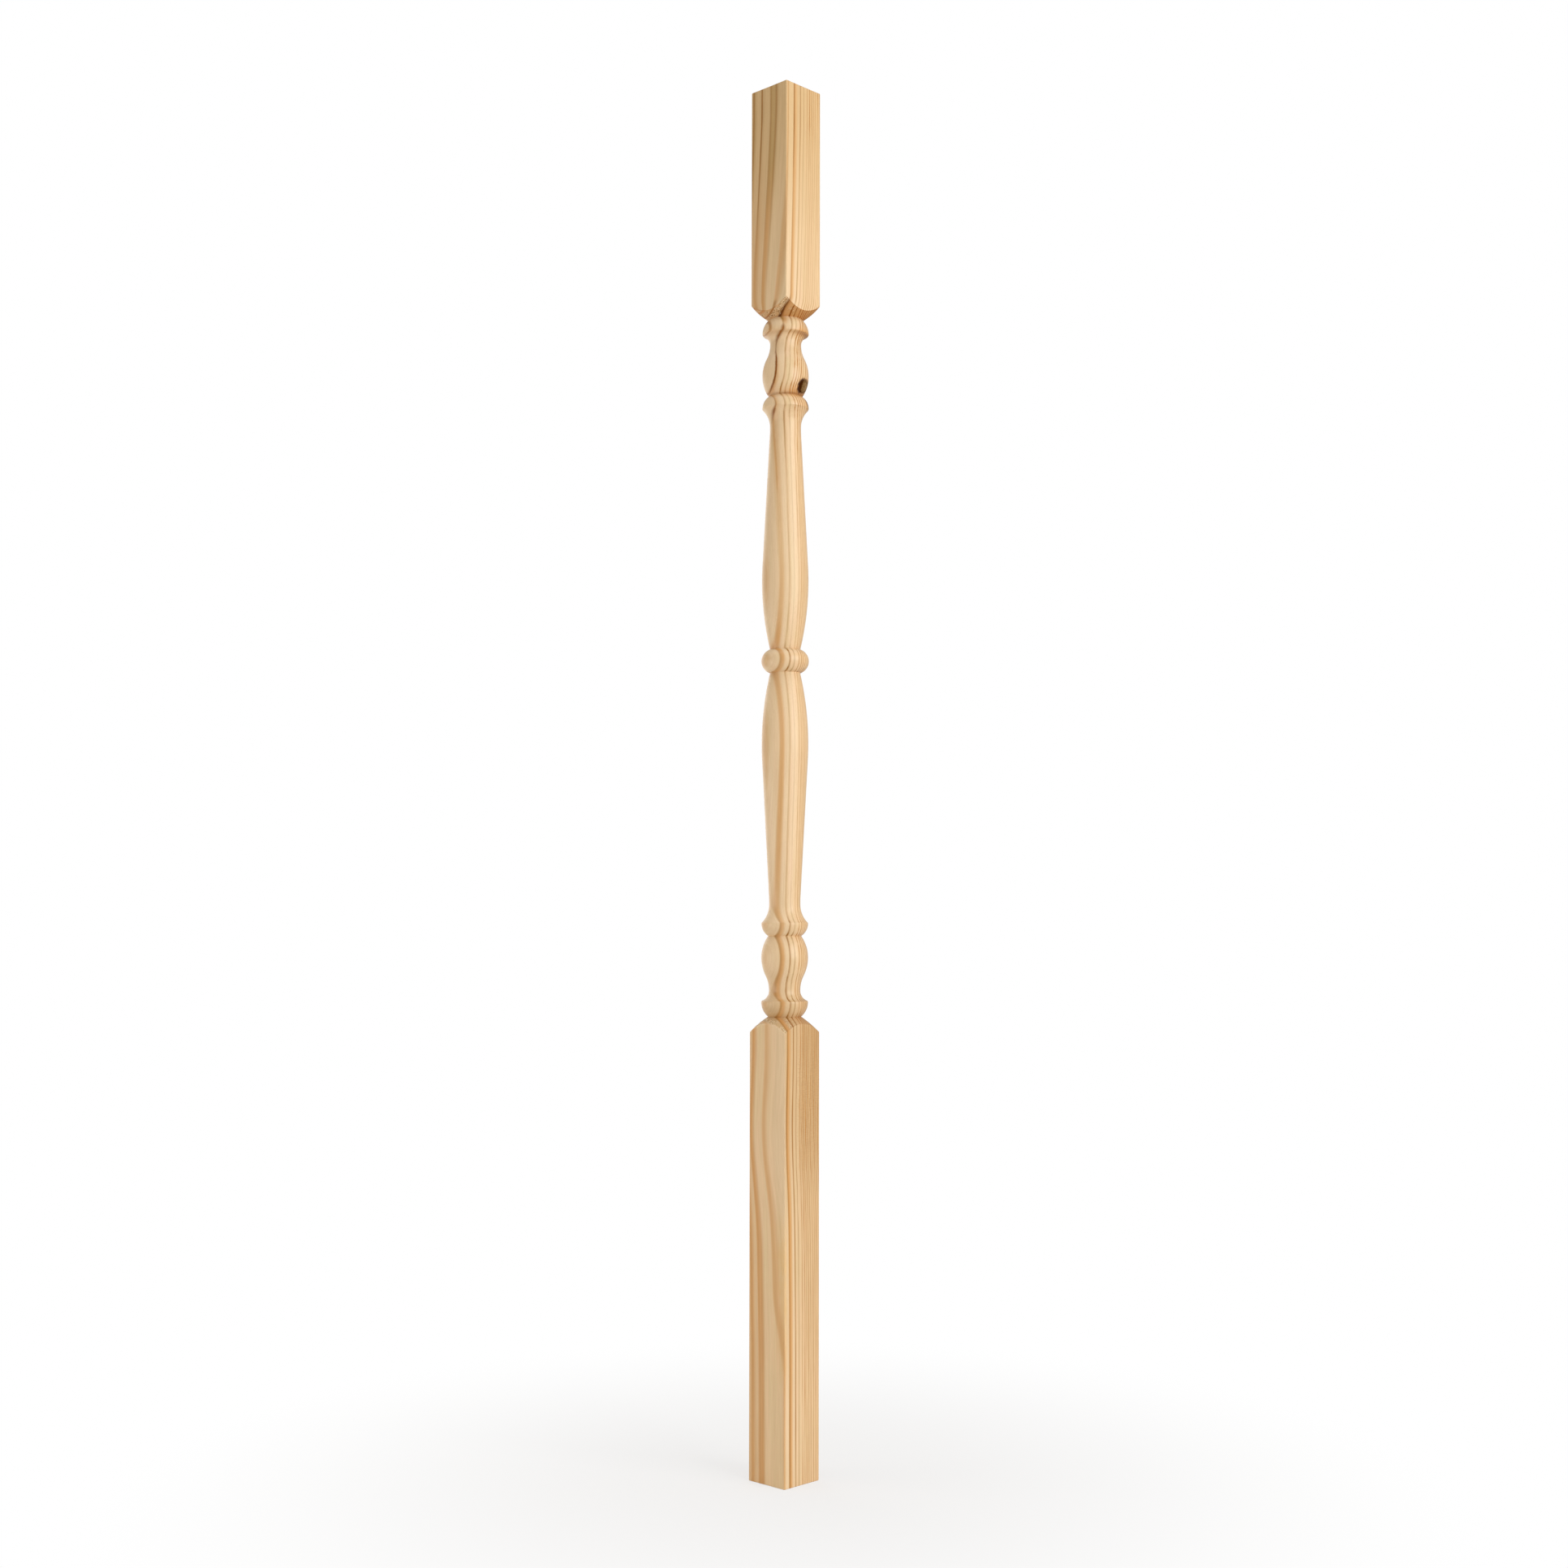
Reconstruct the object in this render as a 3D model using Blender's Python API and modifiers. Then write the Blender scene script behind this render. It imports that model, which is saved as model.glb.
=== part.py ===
"""Turned stair spindle: a square pine blank whose middle is turned between two shouldered blocks.

Run it with Blender in the background or from the text editor. Units are metres and +Z is up. The origin is
the middle of the bottom end, and the square's faces look along X and Y.
"""

import math

import bmesh
import bpy
from mathutils import Matrix

# Blank
SECTION = 0.032
LENGTH = 0.900
ARRIS_ROUND = 0.0008
ARRIS_SEGMENTS = 2

# Where the turning sits: the lower block's height at its corners, and how much shorter the upper half is
LOWER_BLOCK = 0.2858
UPPER_SCALE = 0.970

# Radii of the turning
RING_RADIUS = 0.0154
BELLY_RADIUS = 0.0151
NECK_RADIUS = 0.0101
RING_GROOVE_RADIUS = 0.0098
BEAD_GROOVE_RADIUS = 0.0107
CORNER_RADIUS = SECTION / math.sqrt(2)

# Heights of the lower half's elements, from the middle of the ring outwards
RING_HEIGHT = 0.0077
SHAFT_SWELL = 0.0463
SHAFT_TAPER = 0.1020
SHAFT_NECK = 0.0018
INNER_COVE = 0.0116
INNER_BEAD = 0.0080
VASE_SWELL = 0.0138
VASE_TAPER = 0.0214
OUTER_COVE = 0.0066
OUTER_BEAD = 0.0094
SHOULDER = 0.0102

# Each bead's edge towards its cove is eased by this height and radius
BEAD_EDGE_HEIGHT = 0.0008
BEAD_EDGE_RADIUS = 0.0004

# The shaft's taper bends away from its belly and into its neck over these heights
BELLY_EASE = 0.0100
NECK_EASE = 0.0024

# Share of the vase's height that its hollow neck takes, and the bulge of the shoulder over its chord
VASE_NECK_SHARE = 0.45
SHOULDER_BULGE = 0.0004

# Fineness: sides of the turning, the most that one facet of an arc bends, and points along the shoulder
TURNED_SIDES = 48
ARC_STEP = math.radians(12.0)
SHOULDER_STEPS = 3

# The turning's envelope passes outside the blank by this much
CLEARANCE = 0.004

# Planed pine
PINE_COLOUR = (0.72, 0.50, 0.28, 1.0)
PINE_ROUGHNESS = 0.55


def upright_arc(rise, change):
    """Points of a circular arc that leaves (0, 0) upright and ends at (rise, change), without its start."""
    radius = (rise * rise + change * change) / (2 * abs(change))
    sweep = math.asin(min(1.0, rise / radius))
    count = max(1, math.ceil(sweep / ARC_STEP))
    points = []
    for step in range(1, count + 1):
        angle = sweep * step / count
        points.append((radius * math.sin(angle), math.copysign(radius * (1 - math.cos(angle)), change)))
    return points


class Outline:
    """Half of the turning's outline as (height, radius) points, from the middle of the ring outwards."""

    def __init__(self, radius):
        self.points = [(0.0, radius)]

    def straight(self, rise, radius):
        height, _ = self.points[-1]
        self.points.append((height + rise, radius))

    def leave_upright(self, rise, radius):
        """An arc that is upright where it starts: a bead from its belly, or a cove from its neck."""
        height, start = self.points[-1]
        for along, change in upright_arc(rise, radius - start):
            self.points.append((height + along, start + change))

    def arrive_upright(self, rise, radius):
        """An arc that is upright where it ends: a swell up to its belly, or a hollow down to its neck."""
        height, start = self.points[-1]
        backwards = [(0.0, 0.0)] + upright_arc(rise, start - radius)
        for along, change in reversed(backwards[:-1]):
            self.points.append((height + rise - along, radius + change))

    def taper(self, rise, radius, start_ease, end_ease):
        """A straight taper between two upright ends, which it bends into over the two eases."""
        start = self.points[-1][1]
        slope = (radius - start) / (rise - (start_ease + end_ease) / 2)
        self.leave_upright(start_ease, start + slope * start_ease / 2)
        self.straight(rise - start_ease - end_ease, radius - slope * end_ease / 2)
        self.arrive_upright(end_ease, radius)

    def ogee(self, rise, radius, hollow_share):
        """A belly's arc that runs into a neck's arc, which takes the given share of the height."""
        start = self.points[-1][1]
        full = 1 - hollow_share
        self.leave_upright(rise * full, start + (radius - start) * full)
        self.arrive_upright(rise * hollow_share, radius)

    def bead(self, rise, groove_radius):
        """The eased edge next to a cove, then a quarter round down to its groove."""
        self.straight(BEAD_EDGE_HEIGHT, BELLY_RADIUS)
        self.leave_upright(rise, groove_radius)

    def bowed(self, rise, radius, bulge, steps):
        """A chord that bulges away from the axis by a parabola."""
        height, start = self.points[-1]
        change = radius - start
        chord = math.hypot(rise, change)
        for step in range(1, steps + 1):
            share = step / steps
            push = 4 * bulge * share * (1 - share) / chord
            self.points.append((height + rise * share - change * push, start + change * share + rise * push))


def half_outline():
    """Ring, shaft, inner bead, vase, outer bead and shoulder of one half."""
    outline = Outline(RING_RADIUS)
    outline.leave_upright(RING_HEIGHT, RING_GROOVE_RADIUS)
    outline.arrive_upright(SHAFT_SWELL, BELLY_RADIUS)
    outline.taper(SHAFT_TAPER, NECK_RADIUS, BELLY_EASE, NECK_EASE)
    outline.straight(SHAFT_NECK, NECK_RADIUS)
    outline.leave_upright(INNER_COVE, BELLY_RADIUS - BEAD_EDGE_RADIUS)
    outline.bead(INNER_BEAD, BEAD_GROOVE_RADIUS)
    outline.arrive_upright(VASE_SWELL, BELLY_RADIUS)
    outline.ogee(VASE_TAPER, NECK_RADIUS, VASE_NECK_SHARE)
    outline.leave_upright(OUTER_COVE, BELLY_RADIUS - BEAD_EDGE_RADIUS)
    outline.bead(OUTER_BEAD, BEAD_GROOVE_RADIUS)
    outline.bowed(SHOULDER, CORNER_RADIUS, SHOULDER_BULGE, SHOULDER_STEPS)
    return outline.points


def envelope_profile():
    """The whole turning as (radius, height) points from the top down, closed round both blocks to the axis."""
    half = half_outline()
    ring_height = LOWER_BLOCK + half[-1][0]
    outside = CORNER_RADIUS + CLEARANCE
    upper = [(radius, ring_height + height * UPPER_SCALE) for height, radius in reversed(half)]
    lower = [(radius, ring_height - height) for height, radius in half[1:]]
    top = LENGTH + CLEARANCE
    above = [(0.0, top), (outside, top), (outside, upper[0][1])]
    below = [(outside, lower[-1][1]), (outside, -CLEARANCE), (0.0, -CLEARANCE)]
    return above + upper + lower + below


def clear_scene():
    for obj in list(bpy.data.objects):
        bpy.data.objects.remove(obj, do_unlink=True)


def new_collection(name):
    collection = bpy.data.collections.new(name)
    bpy.context.scene.collection.children.link(collection)
    return collection


def pine():
    material = bpy.data.materials.new("pine")
    material.use_nodes = True
    shader = material.node_tree.nodes["Principled BSDF"]
    shader.inputs["Base Color"].default_value = PINE_COLOUR
    shader.inputs["Roughness"].default_value = PINE_ROUGHNESS
    shader.inputs["Metallic"].default_value = 0.0
    material.diffuse_color = PINE_COLOUR
    return material


def turning_envelope(collection):
    """What the lathe leaves: the outline spun round Z, wider than the blank along both blocks."""
    mesh = bpy.data.meshes.new("turning_envelope")
    points = [(radius, 0.0, height) for radius, height in envelope_profile()]
    edges = [(index, index + 1) for index in range(len(points) - 1)]
    mesh.from_pydata(points, edges, [])
    envelope = bpy.data.objects.new("turning_envelope", mesh)
    collection.objects.link(envelope)
    screw = envelope.modifiers.new("Turn", "SCREW")
    screw.axis = "Z"
    screw.angle = math.tau
    screw.steps = TURNED_SIDES
    screw.render_steps = TURNED_SIDES
    screw.use_merge_vertices = True
    screw.merge_threshold = 0.00001
    envelope.hide_render = True
    envelope.display_type = "WIRE"
    return envelope


def square_blank(collection):
    """The planed square length, with its four long arrises eased."""
    shape = bmesh.new()
    size = Matrix.Diagonal((SECTION, SECTION, LENGTH, 1.0))
    bmesh.ops.create_cube(shape, size=1.0, matrix=Matrix.Translation((0.0, 0.0, LENGTH / 2)) @ size)
    weight = shape.edges.layers.float.new("bevel_weight_edge")
    for edge in shape.edges:
        lower, upper = edge.verts
        if abs(lower.co.z - upper.co.z) > LENGTH / 2:
            edge[weight] = 1.0
    mesh = bpy.data.meshes.new("spindle")
    shape.to_mesh(mesh)
    shape.free()
    blank = bpy.data.objects.new("spindle", mesh)
    collection.objects.link(blank)
    bevel = blank.modifiers.new("Arrises", "BEVEL")
    bevel.limit_method = "WEIGHT"
    bevel.width = ARRIS_ROUND
    bevel.segments = ARRIS_SEGMENTS
    return blank


def turn(blank, envelope):
    """Cuts the blank down to the envelope, and shades the result smooth but for its real edges."""
    cut = blank.modifiers.new("Turning", "BOOLEAN")
    cut.operation = "INTERSECT"
    cut.solver = "EXACT"
    cut.object = envelope
    turned = blank.evaluated_get(bpy.context.evaluated_depsgraph_get())
    mesh = bpy.data.meshes.new_from_object(turned)
    mesh.name = "spindle"
    blank.modifiers.clear()
    blank.data = mesh
    mesh.shade_smooth()
    mesh.set_sharp_from_angle(angle=math.radians(28.0))


def main():
    clear_scene()
    parts = new_collection("stair_spindle")
    cutters = new_collection("cutters")
    spindle = square_blank(parts)
    turn(spindle, turning_envelope(cutters))
    spindle.data.materials.clear()
    spindle.data.materials.append(pine())


main()
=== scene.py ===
"""Looks of a turned stair spindle: planed and turned pine, on a pale floor in soft studio light.

Lengths are in metres, but the figure of the wood is worked out in millimetres, because that is how
growth rings are measured. The tree's heart lies beyond the corner between the +X and +Y sides, so the
growth rings are widest on the -Y side and finest on the +Y side.
"""

import math
from itertools import product

import bpy
import numpy as np
from bpy.props import FloatProperty, FloatVectorProperty, IntProperty, PointerProperty
from bpy.types import Operator, Panel, PropertyGroup
from mathutils import Matrix, Vector


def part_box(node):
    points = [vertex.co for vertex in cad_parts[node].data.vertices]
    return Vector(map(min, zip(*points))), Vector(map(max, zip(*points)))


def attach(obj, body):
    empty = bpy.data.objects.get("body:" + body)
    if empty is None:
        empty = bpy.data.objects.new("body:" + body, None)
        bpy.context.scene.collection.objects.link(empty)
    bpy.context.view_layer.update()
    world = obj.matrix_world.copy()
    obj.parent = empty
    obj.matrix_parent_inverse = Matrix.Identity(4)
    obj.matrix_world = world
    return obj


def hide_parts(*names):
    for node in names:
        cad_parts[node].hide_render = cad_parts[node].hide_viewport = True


bl_info = {
    "name": "Turned Stair Spindle",
    "version": (1, 0, 0),
    "blender": (4, 5, 0),
    "location": "3D View > Sidebar > Spindle",
    "description": "Turns a pine stair spindle with its growth rings and knots, and sets a stage for it",
    "category": "Add Mesh",
}

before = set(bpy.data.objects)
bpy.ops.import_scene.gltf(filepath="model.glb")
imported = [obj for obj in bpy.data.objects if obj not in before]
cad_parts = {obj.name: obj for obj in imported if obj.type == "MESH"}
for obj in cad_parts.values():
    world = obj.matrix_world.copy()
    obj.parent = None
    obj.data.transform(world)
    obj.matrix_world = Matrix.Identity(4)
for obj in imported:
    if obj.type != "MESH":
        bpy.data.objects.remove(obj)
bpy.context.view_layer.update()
BLANK_LOW, BLANK_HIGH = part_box("spindle")

# Blank, from the frame
SECTION = BLANK_HIGH.x - BLANK_LOW.x
LENGTH = BLANK_HIGH.z - BLANK_LOW.z
CORNER_RADIUS = SECTION / math.sqrt(2)

# The turning: height of the lower block's corners, how much shorter the upper half is, then the rise of
# each curve from the middle of the ring outwards
LOWER_BLOCK = 0.2858
UPPER_SCALE = 0.97
RING_HEIGHT = 0.0077
SHAFT_SWELL = 0.0463
SHAFT_TAPER = 0.102
SHAFT_NECK = 0.0018
INNER_COVE = 0.0116
INNER_BEAD = 0.008
VASE_SWELL = 0.0138
VASE_TAPER = 0.0214
OUTER_COVE = 0.0066
OUTER_BEAD = 0.0094
SHOULDER = 0.0102
BEAD_EDGE_HEIGHT = 0.0008

# Radii that aren't among the panel's sizes
RING_GROOVE_RADIUS = 0.0098
BEAD_GROOVE_RADIUS = 0.0107
BEAD_EDGE_RADIUS = 0.0004

# How the curves run into each other
BELLY_EASE = 0.01
NECK_EASE = 0.0024
VASE_NECK_SHARE = 0.45
SHOULDER_BULGE = 0.0004

# Rows of the surface along each kind of curve
ROW_STEP = 0.0007
STRAIGHT_ROW_STEP = 0.0028
SHOULDER_ROWS = 34
BLOCK_ROW_STEP = 0.012
ARRIS_COLUMNS = 6
CAP_ROWS = 8
SAW_EDGE = 0.0003
SHARP_ANGLE = math.radians(28)

# Torn grain on the shoulders: sizes of its strokes and patches in millimetres, its depth, and its rings
TORN_STROKE = (0.8, 0.8, 2)
TORN_PATCH = (4, 4, 5)
TORN_DEPTH = 0.0002
TORN_RINGS = (-31, -26, -10.5, -8)
TORN_PATCH_SEED = 8
TORN_STROKE_SEED = 5
NOISE_LATTICE = 64

# Millimetres in a metre
MILLIMETRES = 1000

# Heart of the tree, in millimetres from the spindle's axis
HEART_X = 36.3
HEART_Y = 101.5

# How far the heart sways towards +Y: (rise, where the rise begins, where it ends), and its lean
SWAYS = ((-1.85, 81, 339), (7.24, 610, 909))
START_SWAY = 3.2
LEAN = -2.74 / 900

# Bends of the rings about the knots: push towards +Y, its gain per millimetre of x and of y, height, reach
BENDS = (
    (-3.15, -0.21, 0, 710, 36),
    (1.4, 0, 0, 737, 28),
    (-2.2, 0, -0.1, 702, 5),
    (2.1, 0, 0.16, 681, 12),
    (-1.79, 0, 0, 222, 39),
    (0, -0.09, 0, 753, 4.5),
)

# Knots: (x, y, height) of the tip, and radius
KNOTS = (
    ((14, -2.3, 703.9), 5.2),
    ((9, 13.5, 223), 4.2),
)
KNOT_AXIS = (0.05, 0.999, 0)

# Looks of a knot: steps outwards from its skin, and steps back from its tip
KNOT_WOOD = (-1.3, 0.5)
KNOT_HALO = (-0.2, 2.2)
KNOT_RIM = (-0.9, 1.2)
KNOT_RIM_THIN = (2.5, 7)
KNOT_CORE = (-0.8, 0.8)
KNOT_CORE_END = (2, 5)
KNOT_BROWN = (2, 5.5)
KNOT_GREY = (4.5, 10)

# Orange stain of the wide growth rings: where each begins on its bark side, its depth, and its width
STAINS = (
    (-31.8, 0.9, 1.6),
    (-26.6, 1, 2),
    (-11, 0.1, 2),
)

# Stain that moves on the upper part and fades towards the top, and stain that only foot and top show
SIDE_STAIN = (-28.95, 0.85, 1.7)
SIDE_MOVE = 0.4
SIDE_FADE = (780, 850)
DOUBLE_STAIN = (-25.6, 0.5, 1.2)
DOUBLE_FOOT = (130, 190)
DOUBLE_TOP = (800, 850)

# Dark lines of the wide growth rings: where each begins on its bark side, its depth, and its width
WIDE_LINES = (
    (-31.8, 0.2, 1),
    (-28.9, 0.15, 1),
    (-26.5, 0.12, 0.8),
    (-25.5, 0.1, 0.8),
    (-11.25, 0.78, 1.45),
    (-8.1, 0.55, 1.25),
)

# Dark lines of the fine growth rings
FINE_LINES = (
    (-4.75, 0.34, 1.1),
    (-2.65, 0.4, 1.1),
    (-0.95, 0.34, 1),
    (0.85, 0.38, 1),
    (2.75, 0.3, 1),
    (4.95, 0.34, 1),
    (6.65, 0.3, 0.9),
    (8.25, 0.32, 0.9),
    (9.95, 0.3, 0.9),
    (11.85, 0.34, 1),
)

# Dark edges that the outer rings have only towards the top
TOP_LINES = (
    (-31.75, 0.6, 0.9),
    (-29.15, 1.1, 0.6),
    (-26.7, 0.5, 0.6),
    (-25.4, 0.5, 0.6),
    (-21.9, 0.45, 1.1),
)
TOP_LINES_START = (755, 870)

# How dark the lines are everywhere, and how much that changes on the shaft, on the top block, on the upper
# vase and by the lower knot
WIDE_DEPTHS = (1, -0.62, -0.4, -0.3, 0.35)
FINE_DEPTHS = (1.65, -0.65, -0.82, 0.5, 0.45)
LINE_RAGGED = 1.4

# The ring that strays towards the heart near the foot and on the shaft
STRAY_STAIN = (-22.6, 0.7, 1.9)
STRAY = 1.7
SHAFT_STRAY = 1
STRAY_SPAN = (70, 125)
STRAY_FAINT = (296, 310, 690, 700)

# The ring with resin: its stain and dark edge on the blocks, and its soft band on the shaft
RESIN_STAIN = (-16.45, 1, 4.4)
RESIN_EDGE = (-16.45, 0.6, 1.6)
RESIN_MOVE = 0.4
RESIN_MOVE_SPAN = (755, 775)
RESIN_WEAK = (745, 770, 830, 865)
RESIN_BAND = (-16.9, -15.7, -14.9, -12.9)
BAND_SPAN = (291, 301, 684, 698)
BAND_FADE = (540, 620)
EDGE_FOOT = (40, 125)
EDGE_TOP = (835, 860)

# Threads of resin, as a growth and its heights: a dark one on the upper vase, and a pale one below it
RESIN_THREAD = -16
THREAD_SPAN = (679, 684, 738, 746)
THREAD_HEAVY = (699, 703, 742, 745)
THREAD_THIN = (717, 730)
THREAD_COVE = (732, 738, 741, 745)
PALE_THREAD = -15.6
PALE_THREAD_SPAN = (630, 645, 698, 699.5)

# The line of resin through the upper shoulder, and the dark line of the ring beside it
SHOULDER_RESIN = -16.4
SHOULDER_RESIN_SPAN = (748.6, 749.8, 757, 761)
SHOULDER_RESIN_FADE = (751, 762)
SHOULDER_LINE = (-22.5, 0.55, 1.4)
SHOULDER_LINE_SPAN = (735, 739, 756, 760)

# Dark patch at the right of the bead under the knot, partly resin and partly painted shade: its middle, how
# far it reaches, and how far its glow does
BEAD_RESIN_AND_SHADE = (10.6, 8.6, 695.5)
BEAD_RESIN_AND_SHADE_REACH = (3, 6)
BEAD_RESIN_AND_SHADE_TOP = (700, 701.5)
BEAD_GLOW_REACH = (4, 11)
BEAD_GLOW_SPAN = (689, 692, 699, 699.6)

# Warm edges round the grooves of the upper vase, and painted shade in them: height, reach, depth on the
# bark side, and how much deeper they get over a step in growth
WARM_EDGES = (
    (739.5, 2.2, 0.22, 0.5, (-12, -2)),
    (699.5, 3.4, 0.25, 0.5, (-12, 2)),
)
GROOVE_SHADE = (
    (699.3, 0.9, 0.22, 0.33, (-14, -2)),
    (738.8, 0.9, 0.12, 0.4, (-10, 2)),
)

# Steps in height, as (start, end), and stretches of height, as the step up and the step down
LOWER_SHOULDER_TOP = (295.8, 296.6)
UPPER_SHOULDER_FOOT = (749, 749.8)
UPPER_SHOULDER = (749, 750, 756, 761)
TURNING_FOOT = (291, 301)
TURNING_HEAD = (741, 747)
LOWER_VASE = (291, 301, 350, 375)
LOWER_TURNING = (296, 298, 600, 690)
SHAFT = (342, 372, 640, 700)
UPPER_PART = (690, 720)
UPPER_VASE = (684, 692, 744, 752)
TOP_BLOCK = (745, 770, 840, 885)
TOP_END = (840, 885)

# Spots along the height, as (depth, height, reach)
KNOT_LINES = ((1, 245, 35),)
KNOT_RIPPLES = ((1, 245, 42),)
KNOT_CURLS = ((1, 245, 45),)
KNOT_WAVES = ((1.6, 225, 60),)
RING_LINES = ((0.65, 526.2, 8),)
RING_EDGE = ((0.6, 524, 9),)
KINKS = ((1.2, 701.5, 3), (0.7, 738, 4))
BAND_SPOTS = ((0.15, 437, 40), (0.35, 535, 14), (0.35, 322, 26))
EDGE_SPOTS = ((0.85, 245, 35), (0.6, 876, 8))
THREAD_SPOT = ((1, 687.5, 3),)
THREAD_WARMTH = ((0.7, 703, 9),)

# Steps and stretches in growth
INNER_RINGS = (-10, 0)
WAVY_RINGS = (-10, -6)
CURLY_RINGS = (-9, -6)
STREAKY_RINGS = (-9.5, -6)
PALE_BY_ARRIS = (-21, -19, -17.2, -16.4)
PALE_BY_RESIN = (-15, -13.5, -12, -11)
BARK_SIDE = (-28.5, -24.8)
OLIVE_SIDE = (-25, -23)
END_RINGS = (-18, -12)

# Colours that change along the height: the brown wood about the lower knot, gold, tan and olive
DENSE_START = (40, 130)
DENSE_REST = (150, 245)
DENSE_END = (284, 330)
# The brown wood keeps off the -Y face, and towards the bark it is painted shade on the +X face by the arris
DENSE_FACE = (-16.2, -15)
DENSE_INNER = (-7, 0)
SHADED_BY_ARRIS = (-15, -12)
GOLDEN_RING = (-20.2, 1.9)
GOLDEN_SPAN = (50, 90, 145, 180)
TAN_START = (755, 890)
OLIVE_START = (800, 860)

# Slopes, as the share of the surface's direction that is upright: where end grain shows, and steep curves
END_GRAIN_SLOPE = (0.12, 0.85)
STEEP_SLOPE = (0.45, 0.95)

# Sizes of the noises' lumps, in millimetres along x, y and z
FIBRE_CELLS = (0.3, 0.3, 28)
HAIR_CELLS = (0.12, 0.12, 9)
CLOUD_CELLS = (9, 9, 120)
TINT_CELLS = (3.5, 3.5, 50)
BLOT_CELLS = (3, 3, 9)
WANDER_CELLS = (20, 20, 60)
WAVE_CELLS = (5, 5, 13)
RIPPLE_CELLS = (2.2, 2.2, 0.55)
STREAK_CELLS = (0.32, 0.32, 13)
PATCH_CELLS = (1.5, 1.5, 48)
DASH_CELLS = (1.3, 1.3, 36)
FLECK_CELLS = (0.6, 0.6, 1.2)
KNOT_EDGE_CELLS = (1.6, 1.6, 1.6)
KNOT_STREAK_CELLS = (0.9, 2.6, 0.7)

# Sizes of the figure's lumps, in millimetres of growth, of a tenth of x, and of height
FIGURE_CELLS = (0.42, 1, 45)
FIGURE_START = 7

# Skin of the pine: roughness, and its bumps in metres
PINE_ROUGHNESS = 0.6
BUMP_STRENGTH = 0.6
BUMP_HEIGHT = 0.00012

# Stage, in metres
FLOOR_HALF = 30
FLOOR_TONE = (0.72, 0.7, 0.68)
FLOOR_ROUGHNESS = 0.9
SHADOW_REACH = (0.03, 0.45)
SHADOW_SHARE = 0.35

# Lights: name, place, height on the axis that it is turned to, size, and colour
WHITE = (1, 1, 1)
LIGHTS = (
    ("key", (2.3, 0.1, 1), 0.45, 1.6, WHITE),
    ("fill", (-0.72, -0.95, 0.12), 0.2, 0.8, (1, 0.92, 0.8)),
    ("rim", (-1.54, 0.44, 0.5), 0.45, 1.4, WHITE),
    ("top", (0, 0, 2.4), 0, 2.5, WHITE),
)

# Camera: focal length and width of the photo in its pixels, and the turns and shifts that fit the photo
SENSOR_WIDTH = 36
FOCAL_PIXELS = 2484
PHOTO_PIXELS = 1932
CAMERA_SHIFT = (-0.00052, 0.04027)
CAMERA_TILT = math.radians(92.07)
CAMERA_ROLL = math.radians(0.09)


class Channel:
    """A number or vector that varies over the surface. Arithmetic on it adds Math nodes to its tree."""

    def __init__(self, graph, socket):
        self.graph = graph
        self.socket = socket

    def __add__(self, other):
        return self.graph.math("ADD", self, other)

    __radd__ = __add__

    def __sub__(self, other):
        return self.graph.math("SUBTRACT", self, other)

    def __rsub__(self, other):
        return self.graph.math("SUBTRACT", other, self)

    def __mul__(self, other):
        return self.graph.math("MULTIPLY", self, other)

    __rmul__ = __mul__

    def __truediv__(self, other):
        return self.graph.math("DIVIDE", self, other)


class Graph:
    """Adds nodes to one tree, of a material or of the world."""

    def __init__(self, tree):
        self.tree = tree

    def node(self, kind, settings, sockets, output=0):
        """A shader node of any kind: its settings come first, then the values or links of its sockets."""
        node = self.tree.nodes.new("ShaderNode" + kind)
        for name, value in settings.items():
            setattr(node, name, value)
        for key, value in sockets.items():
            self.feed(node.inputs[key], value)
        return Channel(self, node.outputs[output])

    def feed(self, socket, value):
        """Links a channel to a socket, or sets the socket to a plain value."""
        if isinstance(value, Channel):
            self.tree.links.new(value.socket, socket)
        else:
            socket.default_value = value

    def math(self, operation, *values):
        return self.node("Math", {"operation": operation}, dict(enumerate(values)))

    def vector_math(self, operation, *values):
        output = "Value" if operation in {"DOT_PRODUCT", "DISTANCE"} else "Vector"
        return self.node("VectorMath", {"operation": operation}, dict(enumerate(values)), output)

    def coordinates(self, kind):
        return self.node("TexCoord", {}, {}, kind)

    def split(self, vector):
        node = self.tree.nodes.new("ShaderNodeSeparateXYZ")
        self.feed(node.inputs[0], vector)
        return [Channel(self, output) for output in node.outputs]

    def smooth(self, value, low, high):
        """0 below low and 1 above high, with a smooth step between."""
        settings = {"interpolation_type": "SMOOTHSTEP"}
        return self.node("MapRange", settings, {0: value, 1: low, 2: high})

    def peak(self, value, centre, width):
        """1 at the centre, falling off on both sides as exp(-(distance / width) squared)."""
        away = (value - centre) / width
        return self.math("EXPONENT", away * away * -1.0)

    def noise(self, place, cells, detail=2.0, roughness=0.5):
        """Noise from about 0.25 to 0.75, whose lumps have the given sizes along x, y and z."""
        stretched = self.vector_math("DIVIDE", place, cells)
        sockets = {"Vector": stretched, "Scale": 1.0, "Detail": detail, "Roughness": roughness}
        return self.node("TexNoise", {}, sockets)

    def attribute(self, name):
        """A number that the mesh holds at each of its points."""
        return self.node("Attribute", {"attribute_name": name}, {}, "Fac")

    def mix(self, factor, first, second, blend="MIX"):
        """The first colour where the factor is 0 or less, and the second where it is 1 or more."""
        settings = {"data_type": "RGBA", "blend_type": blend, "clamp_factor": True}
        colours = [colour if isinstance(colour, Channel) else (*colour, 1.0) for colour in (first, second)]
        return self.node("Mix", settings, {0: factor, 6: colours[0], 7: colours[1]}, 2)

    def mix_surface(self, factor, shader, other):
        """Mixes another shader into the material's own."""
        sockets = {0: factor, 1: Channel(self, shader.outputs[0]), 2: other}
        surface = self.node("MixShader", {}, sockets)
        self.feed(self.tree.nodes["Material Output"].inputs["Surface"], surface)

    def clamp(self, value):
        return self.node("Clamp", {}, {0: value})


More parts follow.
